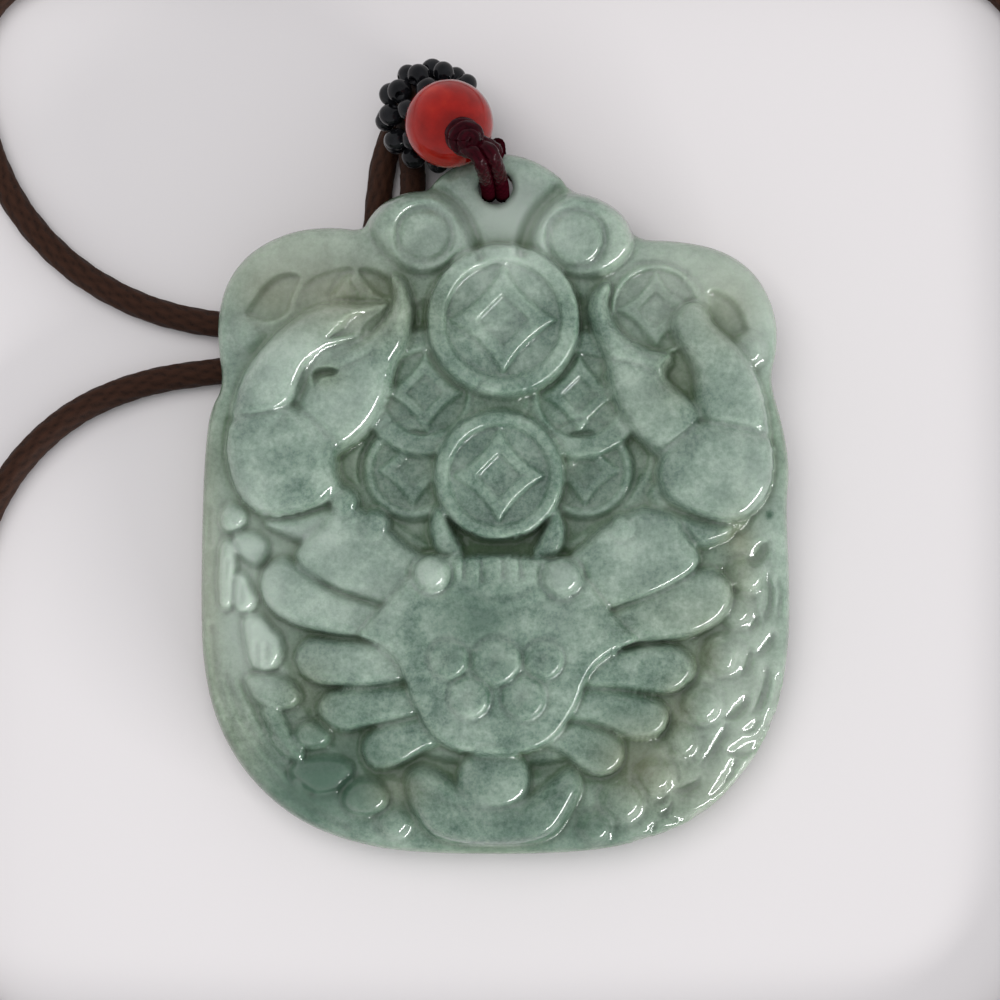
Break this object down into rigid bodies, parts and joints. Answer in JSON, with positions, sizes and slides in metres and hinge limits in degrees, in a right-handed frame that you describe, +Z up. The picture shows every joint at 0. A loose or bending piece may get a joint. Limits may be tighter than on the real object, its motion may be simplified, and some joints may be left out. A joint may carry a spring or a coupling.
{
  "type": "crab pendant",
  "caption": "Carved jade plaque with a crab among coins, hung from a bead, a beaded ball and a neck cord; worn as a pendant.",
  "frame": {"origin": "bottom centre of the pendant's box without the neck cord, on the surface that it lies on", "axes": "+X to the right of the carving, +Y from the ingot towards the hanging loop, +Z up, out of the carved face"},
  "size_m": [0.1056, 0.1065, 0.0194],
  "materials": {
    "jade": "polished",
    "carnelian": "polished",
    "black_glass": "polished",
    "maroon_satin": "satin",
    "brown_cord": "matt"
  },
  "bodies": {
    "root": {"jade_plaque": "jade", "hanging_loop": "maroon_satin", "loop_knot": "maroon_satin", "carnelian_bead": "carnelian", "ball_core": "brown_cord", "black_beads": "black_glass", "neck_cord": "brown_cord"}
  },
  "joints": []
}
